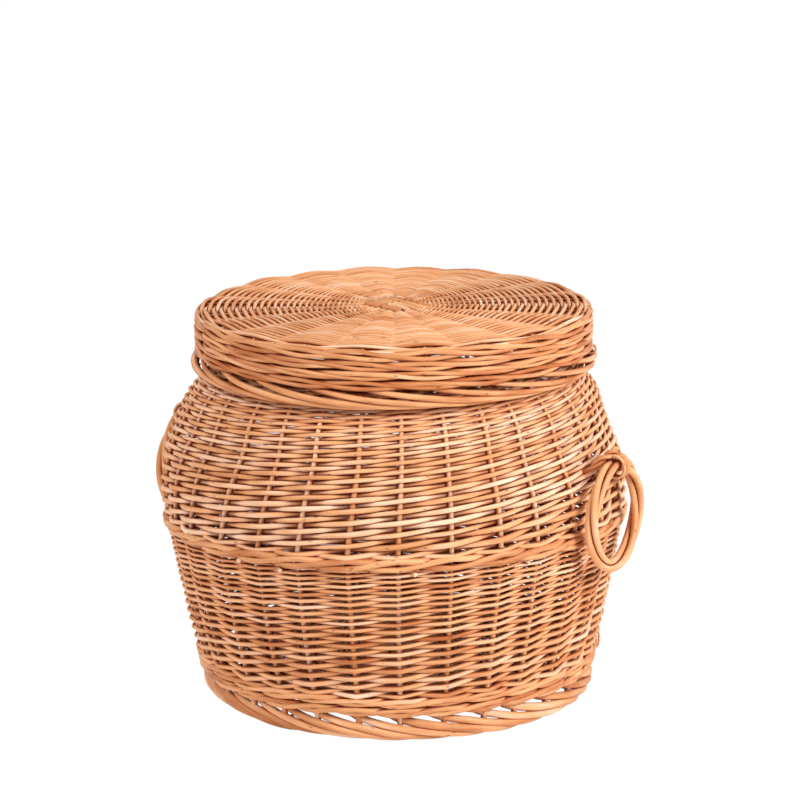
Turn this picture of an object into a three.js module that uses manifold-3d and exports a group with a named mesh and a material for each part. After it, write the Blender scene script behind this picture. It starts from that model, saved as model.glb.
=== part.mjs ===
// Wicker laundry hamper: a round willow basket with a swelling body, a lift-off lid and two ring
// handles that hang on its sides.
// Millimetres, +Z up. The origin is on the floor under the middle of the basket, handles on X.
import * as THREE from 'three';
import { mergeVertices } from 'three/addons/utils/BufferGeometryUtils.js';
import Module from 'manifold-3d';

// Rods
const STAKE_DIA = 6; // upright of the body
const STAKE_SIDES = 4;
const STICK_SIDES = 4;
const SIDING_ROD = 4.4; // thickness of the siding across the wall
const WALE_ROD = 5.4; // thicker rods of the wales
const BASE_STICK_DIA = 7;
const LID_STICK_DIA = 6;
const LID_STAKE_DIA = 5;
const LID_ROD = 4.4;
const LID_WALE_ROD = 4.2;

// Clearances
const SEAT_GAP = 0.35; // between two pieces that bear on each other
const WEAVE_GAP = 0.45; // between a woven row and the stake it passes
const ROW_GAP = 0.9; // between two rows of one woven piece
const LID_CLEARANCE = 1.5; // between the neck and the lid's skirt
const HANDLE_CLEARANCE = 1; // between the belly and a hanging ring

// Counts
const STAKES = 30;
const BASE_STICKS = 12;
const LID_STICKS = 10;
const LID_STAKES = 20; // two to a lid stick
const LOWER_ROWS = 8; // each row stands for a slew of rods that lie together
const UPPER_ROWS = 8;
const WALE_ROWS = 2;
const BASE_ROWS = 4;
const LID_INNER_ROWS = 3; // over the lid's sticks alone
const LID_OUTER_ROWS = 4; // over sticks and the stakes that run in between them
const ROWS_PER_BEND = 2; // rows between two bends of a stake
const TIP_SHARE = 0.06; // height of a weaver's thin ends, as a share of its row
const TIP_SHORT = 0.2; // how far its ends stop before a stake, as a share of the way between two

// Line of the stakes, as radius and height
const FOOT_RADIUS = 190;
const FOOT_LINE_HEIGHT = 18;
const LOWER_RADIUS = 209;
const LOWER_HEIGHT = 110;
const BELLY_RADIUS = 226.2;
const BELLY_HEIGHT = 198;
const SHOULDER_RADIUS = 213.5;
const SHOULDER_HEIGHT = 266;
const COLLAR_RADIUS = 197.5;
const COLLAR_HEIGHT = 309;
const NECK_RADIUS = 178.5;
const NECK_HEIGHT = 335;

// Heights of the woven zones
const FOOT_TOP = 19.5; // top of the foot border
const UPSETT_BOTTOM = 25;
const UPSETT_TOP = 49;
const WALE_BOTTOM = 185;
const WALE_TOP = 207;
const NECK_BOTTOM = 334;
const RIM_BOTTOM = 362;
const RIM_TOP = 376;

// Borders
const FOOT_BORDER_INSET = 2; // from the feet of the stakes in to the middle of the border
const FOOT_BORDER_WIDTH = 17;
const RIM_BORDER_WIDTH = 15;
const LID_BORDER_WIDTH = 14;
const LID_BORDER_HEIGHT = 15;
const LAY_DEPTH = 0.1; // swell of the border's slanting rods, as a share of its section

// Base and lid
const BASE_HEIGHT = 34; // middle of the base sticks
const BASE_HUB_RADIUS = 52;
const LID_HUB_RADIUS = 46;
const LID_SPLIT_RADIUS = 100; // where the lid's stakes begin between its sticks
const LID_BEND = 9; // radius at which the lid's stakes turn down
const LID_DROP = 59; // from the lid's top to the bottom of its border

// Ring handles
const RING_ROD = 7.6;
const RING_RADIUS = 51; // from the ring's middle to the middle of its three rods
const RING_TURNS = 3;
const RING_TWISTS = 4; // times that the rods wind round each other
const RING_STRAND_GAP = 0.9;
const RING_STEPS = 24; // along one turn
const RING_SIDES = 5;
const LOOP_HEIGHT = 240; // about where a loop meets the wall, between the two rows nearest to it
const LOOP_ROD = 7;
const TIE_ROD = 5.6;
const LOOP_CLEARANCE = 2.6; // between a swinging ring and the bow before it
const BOW_ANGLE = 66; // degrees, how far the bow stands above the ring's top

const WILLOW = 0xd9a066;
const WILLOW_PALE = 0xe3b27c;
const WILLOW_DEEP = 0xc98d54;

const wasm = await Module();
wasm.setup();
const group = new THREE.Group();
const turn = (share) => 2 * Math.PI * share;

function add(name, geometry, colour) {
  const material = new THREE.MeshStandardMaterial({ color: colour, roughness: 0.55, metalness: 0 });
  const mesh = new THREE.Mesh(geometry, material);
  mesh.name = name;
  group.add(mesh);
}

// A skin over a row of sections with equal numbers of points, closed in a ring or capped at both ends.
function loft(sections, ring = false) {
  const sides = sections[0].length;
  const count = sections.length;
  const position = sections.flat().flatMap((p) => [p.x, p.y, p.z]);
  const index = [];
  for (let i = 0; i < (ring ? count : count - 1); i++) {
    for (let j = 0; j < sides; j++) {
      const a = i * sides + j;
      const b = i * sides + ((j + 1) % sides);
      const c = ((i + 1) % count) * sides + j;
      const d = ((i + 1) % count) * sides + ((j + 1) % sides);
      index.push(a, b, d, a, d, c);
    }
  }
  const last = (count - 1) * sides;
  for (let j = 1; !ring && j < sides - 1; j++) {
    index.push(0, j + 1, j, last, last + j, last + j + 1);
  }
  const geometry = new THREE.BufferGeometry();
  geometry.setAttribute('position', new THREE.Float32BufferAttribute(position, 3));
  geometry.setIndex(facesOut(geometry, index) ? index : index.reverse());
  geometry.computeVertexNormals();
  return geometry;
}

function facesOut(geometry, index) {
  const p = geometry.getAttribute('position');
  const [a, b, c] = [new THREE.Vector3(), new THREE.Vector3(), new THREE.Vector3()];
  let volume = 0;
  for (let i = 0; i < index.length; i += 3) {
    a.fromBufferAttribute(p, index[i]);
    b.fromBufferAttribute(p, index[i + 1]);
    c.fromBufferAttribute(p, index[i + 2]);
    volume += a.dot(b.cross(c));
  }
  return volume > 0;
}

function toSolid(geometry) {
  const bare = geometry.clone();
  bare.deleteAttribute('normal');
  bare.deleteAttribute('uv');
  const merged = mergeVertices(bare, 0.0001);
  const vertProperties = Float32Array.from(merged.getAttribute('position').array);
  const triVerts = Uint32Array.from(merged.getIndex().array);
  return new wasm.Manifold(new wasm.Mesh({ numProp: 3, vertProperties, triVerts }));
}

function join(geometries) {
  const solid = geometries.map(toSolid).reduce((whole, next) => whole.add(next));
  const mesh = solid.getMesh();
  const geometry = new THREE.BufferGeometry();
  geometry.setAttribute('position', new THREE.BufferAttribute(mesh.vertProperties, 3));
  geometry.setIndex(new THREE.BufferAttribute(mesh.triVerts, 1));
  geometry.computeVertexNormals();
  return geometry;
}

// The point at a radius and height, on the half plane at an angle round the basket.
function around(angle, line) {
  return new THREE.Vector3(line.x * Math.cos(angle), line.x * Math.sin(angle), line.y);
}

// A rod of several sides along a line in one half plane. Each point has the way across the rod there.
function rod(line, angle, dia, sides) {
  const aside = new THREE.Vector3(-Math.sin(angle), Math.cos(angle), 0);
  return loft(line.map(({ at, out }) => Array.from({ length: sides }, (_, j) => {
    const a = turn((j + 0.5) / sides);
    const inPlane = at.clone().addScaledVector(out, (dia / 2) * Math.cos(a));
    return around(angle, inPlane).addScaledVector(aside, (dia / 2) * Math.sin(a));
  })));
}

// A rod along any points in space.
function tube(points, dia, sides) {
  let across = new THREE.Vector3(0, 0, 1);
  return loft(points.map((p, i) => {
    const next = points[Math.min(i + 1, points.length - 1)];
    const along = next.clone().sub(points[Math.max(i - 1, 0)]).normalize();
    across = across.clone().addScaledVector(along, -across.dot(along)).normalize();
    const up = along.clone().cross(across);
    return Array.from({ length: sides }, (_, j) => {
      const a = turn(j / sides);
      const section = across.clone().multiplyScalar(Math.cos(a)).addScaledVector(up, Math.sin(a));
      return p.clone().addScaledVector(section, dia / 2);
    });
  }));
}

// Rows between two points of a line, each with its lower and upper edge. An edge has its place on the
// line and the way out of the wall there.
function rowsBetween(low, high, count) {
  const way = high.at.clone().sub(low.at).normalize();
  const edge = (i, shift) => ({
    at: low.at.clone().lerp(high.at, i / count).addScaledVector(way, shift),
    out: low.out.clone().lerp(high.out, i / count).normalize(),
  });
  return Array.from({ length: count }, (_, i) => ({
    low: edge(i, ROW_GAP / 2),
    high: edge(i + 1, -ROW_GAP / 2),
  }));
}

// Plain weave passes before one stake and behind the next. A wale passes before two and behind one.
const plain = (row, stake) => ((row + stake) % 2 === 0 ? -1 : 1);
const wale = (row, stake) => ((row + stake) % 3 === 2 ? -1 : 1);

// Share of a turn from X to the place at the back where each row steps up to the next.
const seam = (stakes) => Math.round(stakes / 4) / stakes;

// Section of a weaver at an angle round the basket, with its middle a distance out from the stakes' line.
function section(row, angle, middle, thick) {
  const corner = ({ at, out }, side) => {
    return around(angle, at.clone().addScaledVector(out, middle + (side * thick) / 2));
  };
  return [corner(row.low, -1), corner(row.low, 1), corner(row.high, 1), corner(row.high, -1)];
}

// Sections of a weaver that goes round all stakes row after row and steps up at the end of each round.
// Its thin ends fill the first and the last step.
function strokes(rows, stakes, stakeDia, thick, stroke) {
  const reach = stakeDia / 2 + WEAVE_GAP + thick / 2;
  const angle = (k) => turn(k / stakes + seam(stakes));
  const thin = (from, to) => ({ at: from.at.clone().lerp(to.at, TIP_SHARE), out: from.out });
  const [first, last] = [rows[0], rows[rows.length - 1]];
  const butt = { low: first.low, high: thin(first.low, first.high) };
  const tip = { low: thin(last.high, last.low), high: last.high };
  const rounds = rows.flatMap((row, i) => Array.from({ length: stakes }, (_, k) => {
    return section(row, angle(k), reach * stroke(i, k), thick);
  }));
  return [
    section(butt, angle(TIP_SHORT - 1), 0, thick),
    ...rounds,
    section(tip, angle(stakes - TIP_SHORT), 0, thick),
  ];
}

const weave = (...work) => loft(strokes(...work));

// A border whose rods lie slantwise round it, flat above and below.
function border(radius, width, bottom, top, stakes, stepsPerStake) {
  const steps = stakes * stepsPerStake;
  const middle = (bottom + top) / 2;
  const rise = (top - bottom) / (2 * Math.sin(Math.PI / 3) * (1 - LAY_DEPTH));
  const sections = Array.from({ length: steps }, (_, i) => Array.from({ length: 6 }, (_, j) => {
    const swell = 1 + LAY_DEPTH * Math.cos(turn(i / stepsPerStake + j / 6));
    const a = turn(j / 6);
    const height = middle + rise * swell * Math.sin(a);
    const line = new THREE.Vector2(
      radius + (width / 2) * swell * Math.cos(a),
      THREE.MathUtils.clamp(height, bottom, top),
    );
    return around(turn(i / steps), line);
  }));
  return loft(sections, true);
}

// A round hub with sticks that leave it like spokes.
function spokes(count, dia, hubRadius, reach, height) {
  const hub = new THREE.CylinderGeometry(hubRadius, hubRadius, dia, count * 2);
  hub.rotateX(Math.PI / 2);
  hub.translate(0, 0, height);
  const up = new THREE.Vector2(0, 1);
  const line = [hubRadius / 2, reach].map((r) => ({ at: new THREE.Vector2(r, height), out: up }));
  const sticks = Array.from({ length: count }, (_, k) => rod(line, turn(k / count), dia, STICK_SIDES));
  return join([hub, ...sticks]);
}

// Rows of a flat woven disc between two radii.
function discRows(inner, outer, height, count) {
  const edge = (r) => ({ at: new THREE.Vector2(r, height), out: new THREE.Vector2(0, -1) });
  return rowsBetween(edge(inner), edge(outer), count);
}

// Where the first row clears a hub: its straight strokes pass closest half way between two sticks.
const hubClear = (hubRadius, sticks) => hubRadius / Math.cos(Math.PI / sticks) + SEAT_GAP;

// Line of the stakes
const bodyLine = new THREE.SplineCurve([
  new THREE.Vector2(FOOT_RADIUS, FOOT_LINE_HEIGHT),
  new THREE.Vector2(LOWER_RADIUS, LOWER_HEIGHT),
  new THREE.Vector2(BELLY_RADIUS, BELLY_HEIGHT),
  new THREE.Vector2(SHOULDER_RADIUS, SHOULDER_HEIGHT),
  new THREE.Vector2(COLLAR_RADIUS, COLLAR_HEIGHT),
  new THREE.Vector2(NECK_RADIUS, NECK_HEIGHT),
  new THREE.Vector2(NECK_RADIUS, RIM_TOP),
]);
bodyLine.arcLengthDivisions = 800;

function shareAt(height) {
  let [low, high] = [0, 1];
  for (let i = 0; i < 40; i++) {
    const middle = (low + high) / 2;
    if (bodyLine.getPointAt(middle).y < height) low = middle;
    else high = middle;
  }
  return (low + high) / 2;
}

const lineAt = (height) => bodyLine.getPointAt(shareAt(height));

// Bends of a stake between two heights, with a number of rows in each straight stretch.
function bends(bottom, top, rows) {
  const count = Math.max(1, Math.round(rows / ROWS_PER_BEND));
  const [from, to] = [shareAt(bottom), shareAt(top)];
  return Array.from({ length: count }, (_, i) => bodyLine.getPointAt(from + ((to - from) * i) / count));
}

const lowerBends = bends(UPSETT_TOP, WALE_BOTTOM, LOWER_ROWS);
const waleBends = bends(WALE_BOTTOM, WALE_TOP, WALE_ROWS);
const upperBends = bends(WALE_TOP, NECK_BOTTOM, UPPER_ROWS);
const ends = [lineAt(FOOT_TOP + SEAT_GAP), lineAt(NECK_BOTTOM), lineAt(RIM_BOTTOM - SEAT_GAP)];
const places = [ends[0], ...lowerBends, ...waleBends, ...upperBends, ends[1], ends[2]];

// The stake's bends with the way out of the wall at each. Both ends are cut level.
const level = new THREE.Vector2(1, 0);
const stakeLine = places.map((at, i) => {
  if (i === 0 || i === places.length - 1) return { at, out: level };
  const before = at.clone().sub(places[i - 1]).normalize();
  const way = places[i + 1].clone().sub(at).normalize().add(before).normalize();
  return { at, out: new THREE.Vector2(way.y, -way.x) };
});

function zone(first, count, rows) {
  return Array.from({ length: count }, (_, i) => {
    const share = Math.floor(((i + 1) * rows) / count) - Math.floor((i * rows) / count);
    return rowsBetween(stakeLine[first + i], stakeLine[first + i + 1], share);
  }).flat();
}

// The lowest stretch of a stake, at a height.
function footAt(height) {
  return places[0].clone().lerp(places[1], (height - places[0].y) / (places[1].y - places[0].y));
}

const upsettFoot = { at: footAt(UPSETT_BOTTOM), out: stakeLine[1].out };
const upsettRows = rowsBetween(upsettFoot, stakeLine[1], WALE_ROWS);
const waleStart = 1 + lowerBends.length;
const upperStart = waleStart + waleBends.length;
const lowerRows = zone(1, lowerBends.length, LOWER_ROWS);
const bellyRows = zone(waleStart, waleBends.length, WALE_ROWS);
const upperRows = zone(upperStart, upperBends.length, UPPER_ROWS);
const neckRows = zone(upperStart + upperBends.length, 1, WALE_ROWS);

// Body
const footRadius = FOOT_RADIUS - FOOT_BORDER_INSET;
add('foot_border', border(footRadius, FOOT_BORDER_WIDTH, 0, FOOT_TOP, STAKES, 3), WILLOW);
for (let k = 0; k < STAKES; k++) {
  const name = `side_stake_${String(k + 1).padStart(2, '0')}`;
  add(name, rod(stakeLine, turn(k / STAKES), STAKE_DIA, STAKE_SIDES), WILLOW_DEEP);
}
add('upsett_wale', weave(upsettRows, STAKES, STAKE_DIA, WALE_ROD, wale), WILLOW);
add('lower_siding', weave(lowerRows, STAKES, STAKE_DIA, SIDING_ROD, plain), WILLOW_PALE);
add('belly_wale', weave(bellyRows, STAKES, STAKE_DIA, WALE_ROD, wale), WILLOW);
add('upper_siding', weave(upperRows, STAKES, STAKE_DIA, SIDING_ROD, plain), WILLOW_PALE);
add('neck_siding', weave(neckRows, STAKES, STAKE_DIA, SIDING_ROD, plain), WILLOW_PALE);
add('rim_border', border(NECK_RADIUS, RIM_BORDER_WIDTH, RIM_BOTTOM, RIM_TOP, STAKES, 1), WILLOW);

// Base, held by its edge against the inside of the upsett wale
const inWale = (height) => footAt(height).x - STAKE_DIA / 2 - WEAVE_GAP - WALE_ROD - SEAT_GAP;
const stickReach = inWale(BASE_HEIGHT - BASE_STICK_DIA / 2);
const baseReach = inWale(BASE_HEIGHT - BASE_STICK_DIA / 2 - WEAVE_GAP - SIDING_ROD);
const baseStart = hubClear(BASE_HUB_RADIUS, BASE_STICKS);
const baseRows = discRows(baseStart, baseReach, BASE_HEIGHT, BASE_ROWS);
const baseSticks = spokes(BASE_STICKS, BASE_STICK_DIA, BASE_HUB_RADIUS, stickReach, BASE_HEIGHT);
add('base_sticks', baseSticks, WILLOW_DEEP);
add('base_weave', weave(baseRows, BASE_STICKS, BASE_STICK_DIA, SIDING_ROD, plain), WILLOW);

// Lid, which rests with its underside on the rim border
const lidHalf = LID_STICK_DIA / 2 + WEAVE_GAP + LID_ROD;
const lidMiddle = RIM_TOP + SEAT_GAP + lidHalf;
const lidBottom = lidMiddle + lidHalf - LID_DROP;
const neckHalf = STAKE_DIA / 2 + WEAVE_GAP + SIDING_ROD;
const skirtHalf = LID_STAKE_DIA / 2 + WEAVE_GAP + LID_WALE_ROD;
const skirtRadius = NECK_RADIUS + neckHalf + LID_CLEARANCE + skirtHalf;
const lidEdge = skirtRadius - LID_BEND;
add('lid_sticks', spokes(LID_STICKS, LID_STICK_DIA, LID_HUB_RADIUS, lidEdge, lidMiddle), WILLOW_DEEP);
const lidStart = hubClear(LID_HUB_RADIUS, LID_STICKS);
const lidInnerRows = discRows(lidStart, LID_SPLIT_RADIUS, lidMiddle, LID_INNER_ROWS);
const lidOuterRows = discRows(LID_SPLIT_RADIUS, lidEdge, lidMiddle, LID_OUTER_ROWS);
const lastStick = turn(seam(LID_STICKS) - 1 / LID_STAKES);
const lidStrokes = [
  ...strokes(lidInnerRows, LID_STICKS, LID_STICK_DIA, LID_ROD, plain).slice(0, -1),
  section(lidInnerRows.at(-1), lastStick, 0, LID_ROD),
  ...strokes(lidOuterRows, LID_STAKES, LID_STICK_DIA, LID_ROD, plain).slice(1),
];
add('lid_weave', loft(lidStrokes), WILLOW_PALE);

const lidBorderTop = lidBottom + LID_BORDER_HEIGHT;
const skirtTop = lidMiddle - LID_BEND;
const skirtEdge = (height) => ({ at: new THREE.Vector2(skirtRadius, height), out: level });
const skirtRows = rowsBetween(skirtEdge(lidBorderTop + SEAT_GAP), skirtEdge(skirtTop), WALE_ROWS);
add('lid_skirt', weave(skirtRows, LID_STAKES, LID_STAKE_DIA, LID_WALE_ROD, wale), WILLOW);

// The lid's stakes leave the border, climb the skirt and turn in over its edge. One meets the end of a
// stick and the next runs on between two sticks.
const lidStakeBend = [0, 1, 2, 3].map((i) => {
  const a = (Math.PI / 2) * (i / 3);
  const out = new THREE.Vector2(Math.cos(a), Math.sin(a));
  return { at: new THREE.Vector2(lidEdge, skirtTop).addScaledVector(out, LID_BEND), out };
});
const lidStakes = Array.from({ length: LID_STAKES }, (_, k) => {
  const meetsStick = k % (LID_STAKES / LID_STICKS) === 0;
  const reach = meetsStick ? lidEdge : LID_SPLIT_RADIUS + LID_STAKE_DIA;
  const tip = { at: new THREE.Vector2(reach + SEAT_GAP, lidMiddle), out: new THREE.Vector2(0, 1) };
  const bend = meetsStick ? lidStakeBend.slice(0, 3) : lidStakeBend;
  const line = [skirtEdge(lidBottom + LID_BORDER_HEIGHT / 2), ...bend, tip];
  return rod(line, turn(k / LID_STAKES), LID_STAKE_DIA, STAKE_SIDES);
});
const lidBorder = border(skirtRadius, LID_BORDER_WIDTH, lidBottom, lidBorderTop, LID_STAKES, 3);
add('lid_border', join([lidBorder, ...lidStakes]), WILLOW);

// Ring handles: one long rod wound three times round and twisted with itself.
const strandOffset = (RING_ROD + RING_STRAND_GAP) / Math.sqrt(3);
const ropeRadius = strandOffset + RING_ROD / 2;
const widest = Math.max(LOWER_RADIUS, BELLY_RADIUS, SHOULDER_RADIUS);
const wallReach = widest + STAKE_DIA / 2 + WEAVE_GAP + WALE_ROD;
const pivotX = wallReach + HANDLE_CLEARANCE + ropeRadius;
const bowReach = ropeRadius + LOOP_CLEARANCE + LOOP_ROD / 2;
const tieReach = ropeRadius + SEAT_GAP + TIE_ROD / 2;

// The tie and the ends of the bow meet the wall between two rows, of which one passes before the stake.
// The tie stands square on the wall.
const distance = (row) => Math.abs(row.low.at.y - LOOP_HEIGHT);
const seat = upperRows.reduce((best, row) => (distance(row) < distance(best) ? row : best)).low;
const seatReach = STAKE_DIA / 2 + WEAVE_GAP + SIDING_ROD + SEAT_GAP;
const wallFace = seat.at.clone().addScaledVector(seat.out, seatReach);
const pivotHeight = wallFace.y + ((pivotX - wallFace.x) * seat.out.y + tieReach) / seat.out.x;

// A lap of the rod lies at the bottom of the ring's top, where the ring hangs on the tie.
function ringPoint(share) {
  const lap = turn(share * RING_TURNS);
  const twist = turn(share * RING_TWISTS);
  const reach = RING_RADIUS - strandOffset * Math.cos(twist);
  return new THREE.Vector3(
    pivotX + strandOffset * Math.sin(twist),
    reach * Math.sin(lap),
    pivotHeight - RING_RADIUS + reach * Math.cos(lap),
  );
}

function ring() {
  const steps = RING_TURNS * RING_STEPS;
  const centre = new THREE.Vector3(pivotX, 0, pivotHeight - RING_RADIUS);
  const sections = Array.from({ length: steps }, (_, i) => {
    const p = ringPoint(i / steps);
    const along = ringPoint((i + 0.5) / steps).sub(ringPoint((i - 0.5) / steps)).normalize();
    const outward = p.clone().sub(centre);
    outward.addScaledVector(along, -outward.dot(along)).normalize();
    const across = along.clone().cross(outward);
    return Array.from({ length: RING_SIDES }, (_, j) => {
      const a = turn(j / RING_SIDES + 0.5);
      const r = RING_ROD / 2;
      return p.clone().addScaledVector(outward, r * Math.cos(a)).addScaledVector(across, r * Math.sin(a));
    });
  });
  return loft(sections, true);
}

// Least distance between the surfaces of two laps of the ring's rod.
function ringGap() {
  const steps = RING_TURNS * RING_STEPS * 4;
  const points = Array.from({ length: steps }, (_, i) => ringPoint(i / steps));
  let least = Infinity;
  for (let i = 0; i < steps; i++) {
    for (let j = i + RING_STEPS; j < Math.min(steps, i + steps - RING_STEPS); j++) {
      least = Math.min(least, points[i].distanceTo(points[j]) - RING_ROD);
    }
  }
  return least;
}

// The loop that carries a ring: a bow before the ring's top, with a tie that goes down from it and under
// the ring's top, back to the wall.
function loop() {
  const aim = THREE.MathUtils.degToRad(BOW_ANGLE);
  const round = (a, reach) => new THREE.Vector3(
    pivotX + reach * Math.cos(a),
    0,
    pivotHeight + reach * Math.sin(a),
  );
  const top = round(aim, bowReach);
  const right = around(turn(1 / STAKES), wallFace.clone().addScaledVector(seat.out, LOOP_ROD / 2));
  const shoulder = new THREE.Vector3((right.x + 3 * top.x) / 4, right.y / 2, (right.z + 9 * top.z) / 10);
  const mirror = new THREE.Vector3(1, -1, 1);
  const bow = new THREE.CatmullRomCurve3([
    right.clone().multiply(mirror),
    shoulder.clone().multiply(mirror),
    top,
    shoulder,
    right,
  ]);
  const square = Math.atan2(seat.out.y, seat.out.x) - Math.PI / 2;
  const arc = [0, 1, 2, 3, 4].map((i) => {
    const { lerp } = THREE.MathUtils;
    return round(lerp(aim, square, i / 4), lerp(bowReach, tieReach, i / 4));
  });
  const end = around(0, wallFace);
  return join([tube(bow.getPoints(12), LOOP_ROD, 6), tube([...arc, end], TIE_ROD, 6)]);
}

console.log(`least gap between the laps of a ring handle: ${ringGap().toFixed(2)} mm`);
for (const [side, angle] of [['right', 0], ['left', Math.PI]]) {
  add(`handle_loop_${side}`, loop().rotateZ(angle), WILLOW_DEEP);
  add(`handle_ring_${side}`, ring().rotateZ(angle), WILLOW_PALE);
}

export default group;
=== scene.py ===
"""Wicker laundry hamper: every willow rod of the basket, its lid and its ring handles."""

import math

import bpy
import numpy as np
from bpy.props import FloatProperty, FloatVectorProperty, IntProperty, PointerProperty
from mathutils import Matrix, Vector


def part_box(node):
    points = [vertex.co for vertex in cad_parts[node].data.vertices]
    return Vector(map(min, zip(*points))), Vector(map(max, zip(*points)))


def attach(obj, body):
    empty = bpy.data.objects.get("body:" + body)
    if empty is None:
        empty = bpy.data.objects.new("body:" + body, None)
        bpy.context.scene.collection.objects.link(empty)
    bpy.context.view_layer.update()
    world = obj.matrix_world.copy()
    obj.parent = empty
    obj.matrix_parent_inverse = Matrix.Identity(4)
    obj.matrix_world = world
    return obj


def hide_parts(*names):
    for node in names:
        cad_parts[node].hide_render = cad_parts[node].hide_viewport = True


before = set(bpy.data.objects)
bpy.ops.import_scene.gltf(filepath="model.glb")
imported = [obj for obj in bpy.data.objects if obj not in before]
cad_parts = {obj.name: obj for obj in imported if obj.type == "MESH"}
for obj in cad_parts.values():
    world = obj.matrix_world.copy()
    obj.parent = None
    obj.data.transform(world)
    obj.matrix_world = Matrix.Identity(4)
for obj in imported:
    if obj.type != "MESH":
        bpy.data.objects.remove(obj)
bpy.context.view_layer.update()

bl_info = {
    "name": "Wicker laundry hamper",
    "version": (1, 0, 0),
    "blender": (4, 5, 0),
    "location": "3D View > Sidebar > Hamper",
    "description": "Weaves the willow rods of a round laundry hamper over its packed solids",
    "category": "Object",
}

MM = 0.001
STAKES = sum(name.startswith("side_stake_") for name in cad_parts)
LID_STAKES = 20
# The camera: angles in degrees, then the height it looks at, its shift sideways and its distance.
VIEW_AZIMUTH, VIEW_ELEVATION, VIEW_ROLL = 28.5, 13.45, -0.5
VIEW_HEIGHT, VIEW_SHIFT, VIEW_DISTANCE = 296 * MM, 5.6 * MM, 3.6


def linear(code):
    """Turns an sRGB hex colour into linear light."""
    parts = [int(code[i : i + 2], 16) / 255 for i in (1, 3, 5)]
    return tuple(c / 12.92 if c <= 0.04045 else ((c + 0.055) / 1.055) ** 2.4 for c in parts)


def length(name, description, default):
    """A size in millimetres, kept in metres."""
    return FloatProperty(
        name=name, description=description, default=default * MM, unit="LENGTH", subtype="DISTANCE"
    )


def colour(name, description, code):
    """A colour property that starts from an sRGB hex value."""
    return FloatVectorProperty(
        name=name, description=description, default=linear(code), subtype="COLOR", size=3
    )


class HamperBasketSizes(bpy.types.PropertyGroup):
    """Rods and rows of the basket."""

    stake_rod: length("Stake", "Thickness of an upright stake", 5.6)
    wale_rod: length("Wale rod", "Thickness of the rods of the belly wale", 6.5)
    upsett_rod: length("Upsett rod", "Thickness of the rods of the upsett wale", 5.6)
    foot_rod: length("Foot rod", "Thickness of the rods of the foot border", 8.2)
    rim_rod: length("Rim rod", "Thickness of the rods of the rim border", 6.4)
    lower_rows: IntProperty(name="Lower rows", description="Rows of the lower siding", default=36)
    upper_rows: IntProperty(name="Upper rows", description="Rows of the upper siding", default=34)
    neck_rows: IntProperty(name="Neck rows", description="Rows of the neck siding", default=10)
    belly_height: length("Belly", "Height of the middle of the belly wale", 190.0)
    sag: length("Sag", "How far the belly's rows droop towards the sides", 6.0)


class HamperLidSizes(bpy.types.PropertyGroup):
    """Rods and rows of the lid."""

    stick_rod: length("Stick", "Thickness of a stick at the lid's middle", 8.0)
    stake_rod: length("Stake", "Thickness of a stake of the lid", 4.8)
    skirt_rod: length("Skirt rod", "Thickness of the rods of the skirt", 4.9)
    border_rod: length("Border rod", "Thickness of the rods of the lid's border", 5.9)
    crown: length("Crown", "How far the lid's top rises to its middle", 1.5)
    rows: IntProperty(name="Rows", description="Rows of the lid's weave", default=54)


class HamperHandleSizes(bpy.types.PropertyGroup):
    """Rods of the ring handles and of the loops that carry them."""

    ring_rod: length("Ring rod", "Thickness of the rod wound into a ring", 6.7)
    bow_rod: length("Bow rod", "Thickness of the two rods of a bow", 4.6)
    tie_rod: length("Tie rod", "Thickness of the rod that ties a ring", 3.2)


class HamperColours(bpy.types.PropertyGroup):
    """Colours of buff willow."""

    pale: colour("Pale", "Palest rods", "#fcdcc2")
    honey: colour("Honey", "Most rods", "#e9ad7c")
    deep: colour("Deep", "Darkest rods", "#b66c3c")
    scar: colour("Scar", "Bud scars and dark specks", "#552508")
    # Crossing is painted shade: the dark brown that the weave's crossings are pulled towards where
    # other rods close them in.
    painted_crossing_shade: colour("Crossing", "Old varnish and dust deep in the weave", "#983400")
    backdrop: colour("Backdrop", "Floor and background", "#ffffff")
    room: colour("Room", "Light that the room gives back", "#ffe6cc")


# Shapes of rods and lines


def spline(a, b, c, d, t):
    """A smooth curve from b to c, with a before and d after them."""
    curve = (2 * b) + (c - a) * t + (2 * a - 5 * b + 4 * c - d) * t**2
    return (curve + (3 * b - a - 3 * c + d) * t**3) / 2


def with_ends(points):
    """Points with one more before the first and after the last, in line with them."""
    p = np.array(points, float)
    return np.vstack((2 * p[0] - p[1], p, 2 * p[-1] - p[-2]))


def unit(rows):
    """Directions of length one."""
    return rows / np.linalg.norm(rows, axis=1)[:, None]


def sideways(angle):
    """Level directions round the basket at some angles."""
    return np.stack((-np.sin(angle), np.cos(angle), np.zeros(len(angle))), 1)


class Line:
    """A smooth line of a turned wall: radius and height along its own length, with its outward side."""

    def __init__(self, points, side=1):
        ends = with_ends(points)
        t = np.linspace(0, 1, 24, endpoint=False)[:, None]
        parts = [spline(*four, t) for four in zip(ends, ends[1:], ends[2:], ends[3:])]
        self.rz = np.vstack(parts + [ends[-2:-1]])
        step = np.linalg.norm(np.diff(self.rz, axis=0), axis=1)
        self.s = np.concatenate(([0.0], np.cumsum(step)))
        along = unit(np.gradient(self.rz, self.s, axis=0))
        self.out = np.stack((along[:, 1], -along[:, 0]), 1) * side

    def at_height(self, height):
        """Length along the line at a height, on a line that climbs."""
        return np.interp(height, self.rz[:, 1], self.s)

    def at_radius(self, radius):
        """Length along the line at a radius, on a line that runs outwards."""
        return np.interp(radius, self.rz[:, 0], self.s)

    def sample(self, s, angle, out):
        """Points at a distance out from the line, and the outward direction there."""
        nr = np.interp(s, self.s, self.out[:, 0])
        nz = np.interp(s, self.s, self.out[:, 1])
        r = np.interp(s, self.s, self.rz[:, 0]) + out * nr
        z = np.interp(s, self.s, self.rz[:, 1]) + out * nz
        c, d = np.cos(angle), np.sin(angle)
        return np.stack((r * c, r * d, z), 1), np.stack((nr * c, nr * d, nz), 1)


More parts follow.
